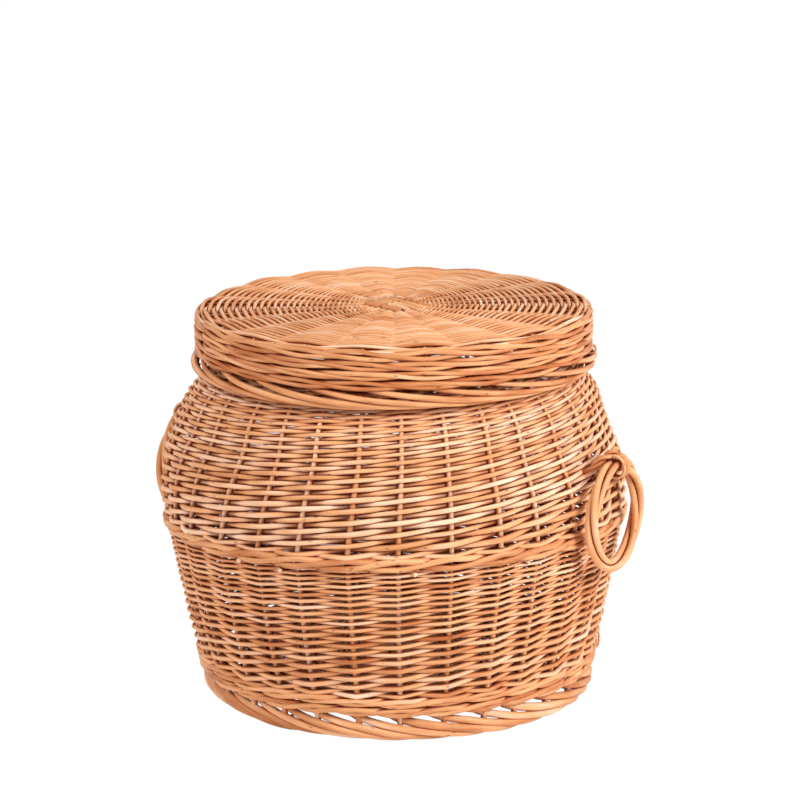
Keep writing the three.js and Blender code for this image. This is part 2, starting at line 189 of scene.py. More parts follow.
class Rods:
    """Round rods gathered into one mesh, with a tone and a place in the grain at every point. The tone
    also holds painted shade on the side of a rod turned away from its facing.
    """

    def __init__(self, sides, rng):
        self.sides = sides
        self.rng = rng
        self.count = 0
        self.points, self.tones, self.grains, self.faces, self.caps = [], [], [], [], []

    def add(self, path, radius, facing, tone, closed=False, inner=0.0):
        """Adds a rod along a path. Painted shade: the tone is made darker on the side away from facing,
        which stands for that side being out of the light.
        """
        n, k = len(path), self.sides
        if closed:
            along = np.roll(path, -1, 0) - np.roll(path, 1, 0)
        else:
            along = np.gradient(path, axis=0)
        along = unit(along)
        side = unit(facing - (facing * along).sum(1)[:, None] * along)
        cross = np.cross(along, side)
        turn = np.arange(k) * 2 * math.pi / k
        c, s = np.cos(turn)[None, :, None], np.sin(turn)[None, :, None]
        radius = np.broadcast_to(radius, n)
        ring = (c * side[:, None] + s * cross[:, None]) * radius[:, None, None]
        self.points.append((path[:, None] + ring).reshape(-1, 3))
        run = np.concatenate(([0.0], np.cumsum(np.linalg.norm(np.diff(path, axis=0), axis=1))))
        grain = np.empty((n, k, 3))
        grain[:, :, 0] = np.cos(turn)[None] * radius[:, None]
        grain[:, :, 1] = np.sin(turn)[None] * radius[:, None]
        grain[:, :, 2] = run[:, None]
        grain += self.rng.uniform(0, 40, 3)
        self.grains.append(grain.reshape(-1, 3))
        # Painted shade, darkest on the side turned away from facing.
        shade = inner * np.clip(-np.cos(turn), 0, 1)
        self.tones.append((np.broadcast_to(tone, n)[:, None] - shade[None]).ravel())
        i = np.arange(n if closed else n - 1)[:, None]
        j = np.arange(k)[None]
        after, beside = (i + 1) % n, (j + 1) % k
        quads = np.stack((i * k + j, i * k + beside, after * k + beside, after * k + j), 2)
        self.faces.append(quads.reshape(-1, 4) + self.count)
        if not closed:
            self.caps.append(np.arange(k)[::-1] + self.count)
            self.caps.append(np.arange(k) + self.count + (n - 1) * k)
        self.count += n * k

    def make(self, name, material):
        """Builds the mesh of all the rods as one piece."""
        mesh = bpy.data.meshes.new(name)
        points = np.concatenate(self.points)
        quads = np.concatenate(self.faces)
        caps = np.array(self.caps, int).reshape(-1, self.sides)
        corners = np.concatenate((quads.ravel(), caps.ravel()))
        starts = np.concatenate(
            (np.arange(len(quads)) * 4, quads.size + np.arange(len(caps)) * self.sides)
        )
        mesh.vertices.add(len(points))
        mesh.vertices.foreach_set("co", points.ravel())
        mesh.loops.add(len(corners))
        mesh.loops.foreach_set("vertex_index", corners)
        mesh.polygons.add(len(starts))
        mesh.polygons.foreach_set("loop_start", starts)
        smooth = np.concatenate((np.ones(len(quads), bool), np.zeros(len(caps), bool)))
        mesh.polygons.foreach_set("use_smooth", smooth)
        mesh.update(calc_edges=True)
        tone = mesh.attributes.new("tone", "FLOAT", "POINT")
        tone.data.foreach_set("value", np.concatenate(self.tones).astype(np.float32))
        grain = mesh.attributes.new("grain", "FLOAT_VECTOR", "POINT")
        grain.data.foreach_set("vector", np.concatenate(self.grains).astype(np.float32).ravel())
        mesh.materials.append(material)
        piece = bpy.data.objects.new(name, mesh)
        bpy.context.scene.collection.objects.link(piece)
        return piece


def ripple(rng, t, wave, size):
    """A slow wander along a rod, in waves of about one length."""
    total = np.zeros_like(t)
    for share in (1.0, 1.9, 3.3):
        total += np.sin(t * 2 * math.pi * share / wave + rng.uniform(0, 2 * math.pi)) / share
    return total * size / 1.6


def smooth_path(points, count):
    """An even walk along a smooth curve through points."""
    ends = with_ends(points)
    u = np.linspace(0, len(points) - 1 - 1e-9, count)
    i = u.astype(int)
    return spline(ends[i], ends[i + 1], ends[i + 2], ends[i + 3], (u - i)[:, None])


def swing(t, bend):
    """In and out of the stakes: one at an even stake, minus one at an odd one."""
    saw = np.abs(t % 2 - 1) * 2 - 1
    return (1 - bend) * np.cos(t * math.pi) + bend * saw


# The lines of this hamper

WALL = Line(
    [
        (r * MM, z * MM)
        for r, z in (
            (190, 14), (192, 26), (196.3, 47), (203.8, 77), (211, 110), (218, 147), (223.3, 176),
            (226, 200), (225.5, 220), (222.5, 240), (218.7, 253), (213.7, 266), (209.3, 278),
            (205.6, 290), (202, 302), (197, 312), (190.8, 320), (183.6, 328), (179.3, 336),
            (178.5, 346), (178.5, 376),
        )
    ]
)


# Made by hand, so not quite round: the side where the belly's rows run level, the side where the foot
# is drawn in, and the side with the fuller shoulder.
LEVEL_SIDE = math.radians(-61.5)
SAG_HEIGHT, SAG_REACH = 190 * MM, 62 * MM
DRAWN_SIDE, DRAWN_WIDTH = math.radians(-122), math.radians(42)
FOOT_DRAWN, FOOT_LIFTED = 3.6 * MM, 2.2 * MM
FULL_SIDE, FULL_WIDTH = math.radians(-150), math.radians(32)
SWELL, SWELL_HEIGHT, SWELL_REACH = 8.5 * MM, 262 * MM, 42 * MM
# How far the stakes spread from the level side, how far they all slant, and how far they stray.
STAKE_SPREAD, STAKE_SLANT, STAKE_STRAY = (math.radians(a) for a in (2.2, 0.7, 0.5))
# One set of the lid's sticks runs this way across it, and the lid slopes up to its high side.
LID_TURN = math.radians(-16.5)
LID_HIGH_SIDE, LID_SLOPE = math.radians(28.5), 0.004
LID_TOP, LID_EDGE = 390.8 * MM, 191.8 * MM
# Painted shade: how much darker the tone is made on the side of a weaver that is turned in, towards the
# basket's inside.
INNER_SHADE = 1.6


def lid_line(crown):
    """The lid's line: out from the middle of its top, over the edge and down the skirt."""
    rise = [(0, 1), (60, 0.9), (120, 0.55), (160, 0.2), (178, 0.05)]
    edge = [
        (187.4, 0.2), (191.8, -1.1), (193.4, -5), (192.8, -14), (192, -26), (191.9, -38), (192, -50),
    ]
    return Line(
        [(r * MM, LID_TOP + crown * share) for r, share in rise]
        + [(r * MM, LID_TOP + z * MM) for r, z in edge],
        side=-1,
    )


def tip_lid(rods):
    """The lid sits a little higher on one side of the rim."""
    for points in rods.points:
        uphill = points[:, :2] @ (math.cos(LID_HIGH_SIDE), math.sin(LID_HIGH_SIDE))
        points[:, 2] += LID_SLOPE * uphill


def lid_angle(k):
    """Angle of a lid stake by its number."""
    return LID_TURN + np.asarray(k, float) * 2 * math.pi / LID_STAKES


def stake_angle(k):
    """Angle of a stake by its number. The stakes are set by eye, so their spacing wanders a little."""
    k = np.asarray(k, float)
    even = k * 2 * math.pi / STAKES
    return even + STAKE_STRAY * (np.sin(7 * even + 1.0) + np.sin(11 * even + 2.6))


def near_height(z, middle, reach):
    """One at a height, fading to nothing above and below it."""
    return np.exp(-(((z - middle) / reach) ** 2))


def near_side(angle, side, width):
    """One on a side of the basket, fading to nothing round from it."""
    away = np.angle(np.exp(1j * (angle - side)))
    return np.exp(-((away / width) ** 2))


def sag_of(angle, z, depth):
    """Droop of the belly's rows, which run level only on one side."""
    turned = angle - LEVEL_SIDE
    amount = (1 - np.cos(turned)) - np.sin(turned) / 3
    return depth * amount * near_height(z, SAG_HEIGHT, SAG_REACH)


def lean_of(angle, z):
    """The stakes spread apart at the belly and draw together at the shoulder on the level side."""
    share = np.interp(z, (0.03, 0.11, 0.195, 0.285), (0.5, 0.9, 1.0, -1.0))
    return share * (STAKE_SPREAD * np.sin(angle - LEVEL_SIDE) - STAKE_SLANT)


def swell_of(angle, z):
    """The shoulder is fuller on one side."""
    return SWELL * near_height(z, SWELL_HEIGHT, SWELL_REACH) * near_side(angle, FULL_SIDE, FULL_WIDTH)


def on_wall(s, angle, out, depth):
    """Points on the basket's wall, with the lean, swell and sag of this one."""
    height = np.interp(s, WALL.s, WALL.rz[:, 1])
    angle = angle + lean_of(angle, height)
    path, facing = WALL.sample(s, angle, out + swell_of(angle, height))
    path[:, 2] -= sag_of(angle, path[:, 2], depth)
    return path, facing


# Buff willow


def add_node(tree, kind, links=None, **settings):
    """Adds a node with its settings, and links or sets its inputs."""
    made = tree.nodes.new(kind)
    for key, value in settings.items():
        setattr(made, key, value)
    for socket, source in (links or {}).items():
        if isinstance(source, bpy.types.NodeSocket):
            tree.links.new(source, made.inputs[socket])
        else:
            made.inputs[socket].default_value = source
    return made


def buff_willow(name, shift, rough, apart=False):
    """Buff willow: rods boiled in their bark and peeled, so the bark's tannin leaves a honey colour.

    The peeled wood is satin smooth. It shows long fibre streaks, soft patches where the stain took
    better, and small dark bud scars. The crossings of the weave get painted shade; rods that stand
    apart take it only from one another.
    """
    found = bpy.data.materials.get(name)
    if found:
        return found
    tints = bpy.context.scene.hamper_colours
    material = bpy.data.materials.new(name)
    material.use_nodes = True
    tree = material.node_tree
    shader = tree.nodes["Principled BSDF"]
    tone = add_node(tree, "ShaderNodeAttribute", attribute_name="tone").outputs["Fac"]
    grain = add_node(tree, "ShaderNodeAttribute", attribute_name="grain").outputs["Vector"]

    def along_grain(per_metre):
        links = {0: grain, 1: per_metre}
        return add_node(tree, "ShaderNodeVectorMath", links, operation="MULTIPLY").outputs[0]

    def times_plus(value, factor, more):
        links = {0: value, 1: factor, 2: more}
        return add_node(tree, "ShaderNodeMath", links, operation="MULTIPLY_ADD").outputs[0]

    # Fibre streaks about 0.7 mm wide and 30 mm long: drawn coarser than the real 0.1 mm fibre to show.
    fibre = along_grain((1400.0, 1400.0, 33.0))
    streak = add_node(
        tree, "ShaderNodeTexNoise", {"Vector": fibre, "Scale": 1.0, "Detail": 2.0, "Roughness": 0.6}
    ).outputs["Fac"]
    # Patches of stain 8 mm wide and 50 mm long.
    stain = along_grain((120.0, 120.0, 20.0))
    patch = add_node(
        tree, "ShaderNodeTexNoise", {"Vector": stain, "Scale": 1.0, "Detail": 2.0}
    ).outputs["Fac"]
    # Bud scars of about 1 mm, in cells 6 mm wide and 22 mm long.
    buds = along_grain((160.0, 160.0, 45.0))
    bud = add_node(tree, "ShaderNodeTexVoronoi", {"Vector": buds, "Scale": 1.0}).outputs["Distance"]
    scar = add_node(
        tree, "ShaderNodeMapRange", {0: bud, 1: 0.05, 2: 0.13, 3: 0.75, 4: 0.0}
    ).outputs[0]
    # Stain patches, then the rod's own tone with its painted shade, then its streaks, choose a place
    # from deep to pale.
    mixed = times_plus(patch, 0.9, 0.05 + shift)
    toned = times_plus(tone, 0.3, mixed)
    share = times_plus(streak, 0.28, toned)
    ramp = add_node(tree, "ShaderNodeValToRGB", {0: share})
    ramp.color_ramp.elements[0].position = 0.2
    ramp.color_ramp.elements[0].color = (*tints.deep, 1)
    ramp.color_ramp.elements[1].position = 1.0
    ramp.color_ramp.elements[1].color = (*tints.pale, 1)
    middle = ramp.color_ramp.elements.new(0.6)
    middle.color = (*tints.honey, 1)
    wood = add_node(
        tree,
        "ShaderNodeMix",
        {"Factor": scar, 6: ramp.outputs["Color"], 7: (*tints.scar, 1)},
        data_type="RGBA",
    ).outputs[2]
    # Painted shade: within about 16 mm of the next rod, where occlusion finds the crossings, the colour
    # is pulled towards a dark brown.
    open_air = add_node(
        tree, "ShaderNodeAmbientOcclusion", {"Distance": 16 * MM}, samples=6, only_local=apart
    ).outputs["AO"]
    depth = add_node(
        tree, "ShaderNodeMapRange", {0: open_air, 1: 0.1, 2: 0.82, 3: 0.97, 4: 0.0}
    ).outputs[0]
    wood_with_painted_shade = add_node(
        tree, "ShaderNodeMix", {"Factor": depth, 6: wood, 7: (*tints.painted_crossing_shade, 1)}, data_type="RGBA"
    ).outputs[2]
    tree.links.new(wood_with_painted_shade, shader.inputs["Base Color"])
    gloss = add_node(
        tree, "ShaderNodeMapRange", {0: streak, 3: rough - 0.06, 4: rough + 0.1}
    ).outputs[0]
    # The crossings that get the painted shade are made rougher too, so they shine less.
    tree.links.new(times_plus(depth, 0.45, gloss), shader.inputs["Roughness"])
    shader.inputs["IOR"].default_value = 1.46
    shader.inputs["Specular IOR Level"].default_value = 0.25
    bump = add_node(
        tree, "ShaderNodeBump", {"Height": streak, "Strength": 0.35, "Distance": 0.0002}
    ).outputs[0]
    tree.links.new(bump, shader.inputs["Normal"])
    return material


def stake_willow():
    """Stakes: a little paler and duller than the rods woven round them."""
    return buff_willow("buff willow stakes", 0.02, 0.5)


def weaver_willow():
    """Weavers: thin honey-coloured rods with a satin shine."""
    return buff_willow("buff willow weavers", -0.03, 0.47)


def thick_willow():
    """Thick rods of wales, borders and handles: deeper in colour and shinier."""
    return buff_willow("buff willow thick rods", -0.14, 0.42)


def foot_willow():
    """Rods of the foot border, as shiny as other thick rods, whose painted shade comes only from one
    another and not from the floor.
    """
    return buff_willow("buff willow foot rods", -0.1, 0.42, apart=True)


def settle(piece, body, slot, *nodes):
    """Makes a piece ride on a body in place of its plain solids."""
    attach(piece, body)
    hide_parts(*nodes)


# Weaves


def graded_rows(low, high, rows, pitches):
    """Rows whose pitch changes evenly: their numbers, pitches, the scale of these, and their places."""
    pitch = np.linspace(*pitches, rows + 1)
    climb = np.concatenate(([0.0], np.cumsum((pitch[1:] + pitch[:-1]) / 2)))
    scale = (high - low) / climb[-1]
    return np.arange(rows + 1), pitch, scale, low + climb * scale


def french_rand(rods, low, high, stake, sag, rows, pitches, plump, tight, bend, samples, hue):
    """French randing: one rod to each stake, and each climbs a row at every stake it passes."""
    rng = rods.rng
    steps, pitch, scale, level = graded_rows(low, high, rows, pitches)
    every = np.arange(-2, STAKES + rows + 4)
    angles = stake_angle(every)
    for j in range(STAKES):
        t = np.linspace(-0.75, rows + 0.4, int((rows + 1.15) * samples))
        s = np.interp(t, steps, level) + ripple(rng, t, 5.0, 0.25 * MM)
        thick = rng.normal(1, 0.06)
        fat = np.interp(steps, (0, rows * 0.75, rows), plump)
        radius = np.interp(t, steps, pitch * fat) * scale / 2 * thick
        radius = radius * (1 + ripple(rng, t, 2.3, 0.05))
        out = swing(t, bend) * (stake / 2 + radius) * np.interp(t, (0, rows), tight)
        out = out + ripple(rng, t, 7.0, 0.3 * MM)
        angle = np.interp(j + t, every, angles)
        path, facing = on_wall(s, angle, out, sag)
        tone = hue + rng.normal(0, 0.3) + ripple(rng, t, 6.0, 0.25)
        rods.add(path, radius, facing, tone, inner=INNER_SHADE)


def wale(
    rods, place, count, middle, rod, stake, wander, proud=0.92, inside=0.92, spread=1.0, hue=0.0
):
    """Waling: each of three rods passes before two stakes and behind the third, over the others."""
    rng, strands, samples = rods.rng, 3, 8
    top = strands / 2 - 1
    closed = count % strands == 0
    for first in range(strands):
        if closed:
            t = np.linspace(0, count, count * samples, endpoint=False)
        else:
            t = np.linspace(first, first + count + strands / 2, int((count + strands / 2) * samples))
        stroke = (t - first) % strands
        stops = (0, 0.4, 1, strands - 1, strands - 0.4, strands)
        rise = np.interp(stroke, stops, (0, -0.7 * top, -top, top, 0.7 * top, 0)) * rod * spread
        behind = np.minimum(stroke, strands - stroke)
        inward = np.where(behind < 0.8, 0.5 + 0.5 * np.cos(behind / 0.8 * math.pi), 0)
        radius = rod / 2 * rng.normal(1, 0.07) * (1 + ripple(rng, t, count / 9, 0.06))
        out = (stake + rod) / 2 * (proud - (proud + inside) * inward)
        out = out + ripple(rng, t, count / 8, 0.4 * MM)
        s = middle + rise + ripple(rng, t, count / 7, wander)
        path, facing = place(s, t, out)
        tone = hue + rng.normal(0, 0.3) + ripple(rng, t, count / 5, 0.3)
        rods.add(path, radius, facing, tone, closed, inner=INNER_SHADE)


def rod_border(rods, count, angle_of, course, rod, samples, drift=None, hue=0.0):
    """A border of one rod to each stake: it bends over, runs before its neighbours and ends inside."""
    rng = rods.rng
    path_of = smooth_path([(a, r * MM, z * MM) for a, r, z in course], samples)
    for k in range(count):
        t = np.linspace(0, 1, samples)
        thick = rng.normal(1, 0.06)
        r = path_of[:, 1] + ripple(rng, t, 1.3, 0.5 * MM)
        z = path_of[:, 2] + ripple(rng, t, 1.1, 0.4 * MM)
        angle = angle_of(k + path_of[:, 0])
        if drift:
            r, z = drift(angle, r, z)
        path = np.stack((r * np.cos(angle), r * np.sin(angle), z), 1)
        facing = np.stack((np.cos(angle), np.sin(angle), np.zeros(samples)), 1)
        facing = facing + np.array((0, 0, 0.15))
        radius = rod / 2 * thick * np.interp(t, (0, 0.3, 1), (0.95, 1, 0.85))
        rods.add(path, radius, facing, hue + rng.normal(0, 0.35) + ripple(rng, t, 1.0, 0.25))


def loose_end(rods, wall, angle, low, high, out, rod):
    """The end of a weaver that stands off the wall as a small bent loop, in degrees and millimetres."""
    z = np.interp((0, 0.15, 0.5, 0.85, 1), (0, 1), (low, high))
    reach = wall + out * np.array((-0.5, 0.75, 1.0, 0.7, -0.5)) * MM
    path = smooth_path(np.stack((reach, np.linspace(-3, 3, 5) * MM, z * MM), 1), 24)
    turn = math.radians(angle)
    x, y = path[:, 0].copy(), path[:, 1].copy()
    path[:, 0] = x * math.cos(turn) - y * math.sin(turn)
    path[:, 1] = x * math.sin(turn) + y * math.cos(turn)
    facing = np.tile((-math.sin(turn), math.cos(turn), 0.0), (24, 1))
    rods.add(path, rod / 2 * MM, facing, 0.2)


def randed_disc(rods, line, low, high, stick, rows, pitches, plump, tight, spokes, turn, samples):
    """A round of randing worked with two rods out from the middle, which end along the edge."""
    rng = rods.rng
    steps, pitch, scale, level = graded_rows(low, high, rows, pitches)
    for start in range(2):
        t = np.linspace(start, rows + 0.5 + start, int((rows + 0.5) / 2 * spokes * samples))
        cuts = np.linspace(0, len(t) - 1, max(2, rows // 3)).astype(int)
        for a, b in zip(cuts, cuts[1:]):
            part = t[a : b + 1]
            spoke = (part - start) / 2 * spokes
            s = np.interp(part, steps, level) + ripple(rng, spoke, 9.0, 0.3 * MM)
            radius = np.interp(part, steps, pitch) * scale * plump / 2 * rng.normal(1, 0.05)
            radius = radius * (1 + ripple(rng, spoke, 3.0, 0.05))
            radius = radius * np.clip((t[-1] - part) * spokes / 3 + 0.4, 0.4, 1)
            out = swing(spoke + start, 0.3) * (stick / 2 + radius) * tight
            angle = turn + spoke * 2 * math.pi / spokes
            path, facing = line.sample(s, angle, out)
            tone = rng.normal(0.0, 0.25) + ripple(rng, spoke, 8.0, 0.25)
            rods.add(path, radius, facing, tone, inner=INNER_SHADE)


def slath_and_spokes(rods, line, turn, stick, tip, each, paired, opened, reach, extra):
    """One set of sticks let through another at the middle, their ends fanned out like spokes."""
    rng = rods.rng
    block = each * stick * 0.53
    far = line.at_radius(reach)
    for arm in range(4):
        for i in range(each):
            place = i - (each - 1) / 2
            lane = place * stick * 1.04
            lean = math.radians(place * 90 / each)
            near = math.radians((i // 2 - 1) * 30 + (i % 2 - 0.5) * 9) if paired else lean
            lift = stick * (-0.2 if arm % 2 else 0.2)
            flat = [(-block if arm < 2 else block, lane), (block, lane)]
            for r, a in ((opened * 0.62, near), (opened * 0.9, near), (opened * 1.12, lean)):
                flat.append((r * math.cos(a), r * math.sin(a)))
            way = smooth_path([(*p, 0) for p in flat], 40)
            r = np.hypot(way[:, 0], way[:, 1])
            hold = line.at_radius(opened * 1.12)
            s = np.concatenate((line.at_radius(r), np.linspace(hold, far + extra, 40)[1:]))
            fan = np.arctan2(way[:, 1], way[:, 0]) + turn + arm * math.pi / 2
            angle = np.concatenate((fan, np.full(39, fan[-1])))
            sunk = (lift, -0.8 * MM, -0.8 * MM, -1.8 * MM)
            rise = np.interp(s, (block, opened, far * 0.9, far), sunk)
            path, _ = line.sample(s, angle, rise)
            thick = np.interp(s, (0, opened, far), (stick, stick * 0.8, tip))
            radius = thick / 2 * rng.normal(1, 0.04)
            rods.add(path, radius, sideways(angle), rng.normal(-0.3, 0.4))


def twisted_pair(rods, course, rod, sign):
    """Two rods twisted together along a course."""
    along = unit(np.gradient(course, axis=0))
    up = np.array((0.5, 0.0, 1.0))
    first = unit(up - (along @ up)[:, None] * along)
    second = np.cross(along, first)
    t = np.linspace(0, 1, len(course))
    for strand in range(2):
        a = t * 7 * math.pi + strand * math.pi
        spread = first * np.cos(a)[:, None] + second * np.sin(a)[:, None]
        path = course + spread * rod * 0.46
        path[:, :2] *= sign
        rods.add(path, rod / 2, spread * (sign, sign, 1), rods.rng.normal(0.1, 0.4))


def coiled_tie(rods, x, z, coil, rod, sign):
    """A thin rod wound side by side round the top of a ring."""
    turns = 3.6
    t = np.linspace(0, 1, 130)
    a = math.radians(150) - t * 2 * math.pi * turns
    across = (t - 0.5) * turns * rod * 1.08
    path = np.stack((sign * (x + coil * np.cos(a)), sign * across, z + coil * np.sin(a)), 1)
    facing = np.stack((sign * np.cos(a), np.zeros(len(t)), np.sin(a)), 1)
    rods.add(path, rod / 2, facing, rods.rng.normal(0.1, 0.4))


# Operators, one for each group of pieces


class HAMPER_OT_side_stakes(bpy.types.Operator):
    """Stand the upright stakes of the basket"""

    bl_idname = "hamper.side_stakes"
    bl_label = "Side stakes"

    def execute(self, context):
        sizes = context.scene.hamper_basket
        rods = Rods(8, np.random.default_rng(11))
        for k in range(STAKES):
            z = np.linspace(15 * MM, 372 * MM, 90)
            s = WALL.at_height(z)
            t = np.linspace(0, 1, len(s))
            angle = np.full(len(s), stake_angle(k)) + ripple(rods.rng, t, 0.8, 0.0015)
            path, _ = on_wall(s, angle, ripple(rods.rng, t, 0.6, 0.2 * MM), sizes.sag)
            radius = sizes.stake_rod / 2 * np.linspace(1.08, 0.9, len(s)) * rods.rng.normal(1, 0.04)
            rods.add(path, radius, sideways(angle), rods.rng.normal(0.2, 0.4))
        piece = rods.make("willow_side_stakes", stake_willow())
        nodes = [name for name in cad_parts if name.startswith("side_stake_")]
        settle(piece, "basket", "buff_willow_stakes", *nodes)
        return {"FINISHED"}


class HAMPER_OT_sidings(bpy.types.Operator):
    """Weave the lower, upper and neck sidings"""

    bl_idname = "hamper.sidings"
    bl_label = "Sidings"

    def execute(self, context):
        sizes = context.scene.hamper_basket
        upsett_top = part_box("upsett_wale")[1].z
        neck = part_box("neck_siding")[0].z
        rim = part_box("rim_border")[0].z
        belly, band = sizes.belly_height, sizes.wale_rod
        courses = (
            ("lower_siding", 21, (upsett_top, belly - band), dict(
                rows=sizes.lower_rows, pitches=(5.0, 2.5), plump=(0.97, 1.04, 1.12),
                tight=(0.92, 0.92), bend=0.85, samples=8, hue=-0.05,
            )),
            ("upper_siding", 22, (belly + band, neck), dict(
                rows=sizes.upper_rows, pitches=(5.6, 2.6), plump=(0.92, 1.08, 1.5),
                tight=(0.9, 0.45), bend=0.6, samples=7, hue=0.2,
            )),
            ("neck_siding", 23, (neck, rim), dict(
                rows=sizes.neck_rows, pitches=(2.9, 2.7), plump=(1.3, 1.3, 1.3),
                tight=(0.6, 0.6), bend=0.5, samples=5, hue=0.2,
            )),
        )
        for node, seed, heights, weave in courses:
            rods = Rods(7, np.random.default_rng(seed))
            ends = (WALL.at_height(height) for height in heights)
            french_rand(rods, *ends, sizes.stake_rod, sizes.sag, **weave)
            if node == "lower_siding":
                wall = WALL.rz[np.searchsorted(WALL.rz[:, 1], 48 * MM), 0]
                loose_end(rods, wall, angle=25.3, low=36, high=62, out=9.5, rod=2.6)
            piece = rods.make("willow_" + node, weaver_willow())
            settle(piece, "basket", "buff_willow_weavers", node)
        return {"FINISHED"}


class HAMPER_OT_wales(bpy.types.Operator):
    """Wale the upsett and the belly of the basket"""

    bl_idname = "hamper.wales"
    bl_label = "Wales"

    def execute(self, context):
        sizes = context.scene.hamper_basket

        def place(s, t, out):
            angle = np.interp(t, np.arange(STAKES + 1), stake_angle(np.arange(STAKES + 1)))
            return on_wall(s, angle, out, sizes.sag)

        rods = Rods(9, np.random.default_rng(31))
        middle = WALL.at_height(sizes.belly_height)
        stake, rod = sizes.stake_rod, sizes.wale_rod
        wale(rods, place, STAKES, middle, rod, stake, 1.2 * MM, spread=1.15, hue=-0.35)
        # Cut butt ends of the wale's rods come out under it at these stakes, paler at the cut.
        for k in (3.4, 8.6, 14.3, 18.7, 21.45, 22.5, 25.2, 27.6):
            along = np.linspace(0, 1, 6)
            s = middle - rod * (1.05 + 0.25 * math.sin(9 * k)) - along * 2 * MM
            path, facing = place(s, k + along * 0.12, np.linspace(-3, 5.4, 6) * MM)
            rods.add(path, rod * 0.34, facing + np.array((0, 0, 0.7)), np.linspace(0, 1.8, 6))
        piece = rods.make("willow_belly_wale", thick_willow())
        settle(piece, "basket", "buff_willow_thick_rods", "belly_wale")

        rods = Rods(8, np.random.default_rng(32))
        lo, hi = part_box("upsett_wale")
        rod = sizes.upsett_rod
        for share in (0.38, 0.76):
            middle = WALL.at_height(lo.z + (hi.z - lo.z) * share)
            wale(rods, place, STAKES, middle, rod, stake, 0.7 * MM)
        piece = rods.make("willow_upsett_wale", thick_willow())
        settle(piece, "basket", "buff_willow_thick_rods", "upsett_wale")
        return {"FINISHED"}


class HAMPER_OT_borders(bpy.types.Operator):
    """Lay the foot border and the rim border of the basket"""

    bl_idname = "hamper.borders"
    bl_label = "Foot and rim borders"

    def execute(self, context):
        sizes = context.scene.hamper_basket
        rods = Rods(9, np.random.default_rng(41))
        course = (
            (-0.3, 187, 28), (0, 190.5, 23.5), (0.5, 194.4, 19.3), (1, 195.2, 15.2), (2, 194.4, 8.6),
            (2.8, 189.4, 5), (3.5, 183.4, 5.6), (3.9, 181, 9.5),
        )

        def drift(angle, r, z):
            """The foot is drawn in and lifted a little on one side."""
            share = near_side(angle, DRAWN_SIDE, DRAWN_WIDTH)
            return r - FOOT_DRAWN * share, z + FOOT_LIFTED * share

        rod_border(rods, STAKES, stake_angle, course, sizes.foot_rod, 34, drift)
        piece = rods.make("willow_foot_border", foot_willow())
        settle(piece, "basket", "buff_willow_thick_rods", "foot_border")

        rods = Rods(8, np.random.default_rng(42))
        course = (
            (0, 178.5, 358), (0.2, 179, 367), (0.7, 182, 372.3), (1.4, 183.2, 369), (2.2, 182.6, 363.2),
            (2.8, 177.6, 361.6), (3.3, 173.6, 364),
        )
        rod_border(rods, STAKES, stake_angle, course, sizes.rim_rod, 34)
        piece = rods.make("willow_rim_border", thick_willow())
        settle(piece, "basket", "buff_willow_thick_rods", "rim_border")
        return {"FINISHED"}


class HAMPER_OT_base(bpy.types.Operator):
    """Weave the base on its slath of sticks"""

    bl_idname = "hamper.base"
    bl_label = "Base"

    def execute(self, context):
        level = (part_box("base_sticks")[0].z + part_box("base_sticks")[1].z) / 2
        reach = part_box("base_weave")[1].x - 3 * MM
        line = Line([(0, level), (reach * 0.5, level), (reach + 6 * MM, level)], side=-1)
        turn, stick, tip, opened = math.radians(7.5), 6.4 * MM, 5.6 * MM, 78 * MM
        rods = Rods(8, np.random.default_rng(51))
        slath_and_spokes(
            rods, line, turn, stick, tip, each=6, paired=True, opened=opened, reach=reach, extra=0.0
        )
        piece = rods.make("willow_base_sticks", stake_willow())
        settle(piece, "basket", "buff_willow_stakes", "base_sticks")

        rods = Rods(6, np.random.default_rng(52))
        # Round the sticks in pairs first, then round each stick by itself.
        randed_disc(
            rods, line, 30 * MM, 76 * MM, stick, rows=16, pitches=(2.6, 3.4), plump=1.06, tight=0.8,
            spokes=12, turn=turn, samples=6,
        )
        randed_disc(
            rods, line, opened, reach - 3 * MM, stick, rows=22, pitches=(4, 6), plump=1.06, tight=0.85,
            spokes=24, turn=turn + math.radians(7.5), samples=5,
        )
        piece = rods.make("willow_base_weave", weaver_willow())
        settle(piece, "basket", "buff_willow_weavers", "base_weave")
        return {"FINISHED"}


class HAMPER_OT_lid_top(bpy.types.Operator):
    """Weave the lid's top on its slath of sticks"""

    bl_idname = "hamper.lid_top"
    bl_label = "Lid top"

    def execute(self, context):
        sizes = context.scene.hamper_lid
        line = lid_line(sizes.crown)
        edge = line.at_radius(LID_EDGE)
        rods = Rods(7, np.random.default_rng(61))
        slath_and_spokes(
            rods, line, LID_TURN, sizes.stick_rod, sizes.stake_rod, each=5, paired=False,
            opened=42 * MM, reach=LID_EDGE, extra=40 * MM,
        )
        tip_lid(rods)
        piece = rods.make("willow_lid_sticks", stake_willow())
        settle(piece, "lid", "buff_willow_stakes", "lid_sticks")

        rods = Rods(7, np.random.default_rng(62))
        high = edge + 0.45 * sizes.skirt_rod
        randed_disc(
            rods, line, 29 * MM, high, sizes.stake_rod, rows=sizes.rows, pitches=(2.6, 5.0), plump=1.02,
            tight=0.56, spokes=LID_STAKES, turn=LID_TURN, samples=7,
        )
        tip_lid(rods)
        piece = rods.make("willow_lid_weave", weaver_willow())
        settle(piece, "lid", "buff_willow_weavers", "lid_weave")
        return {"FINISHED"}


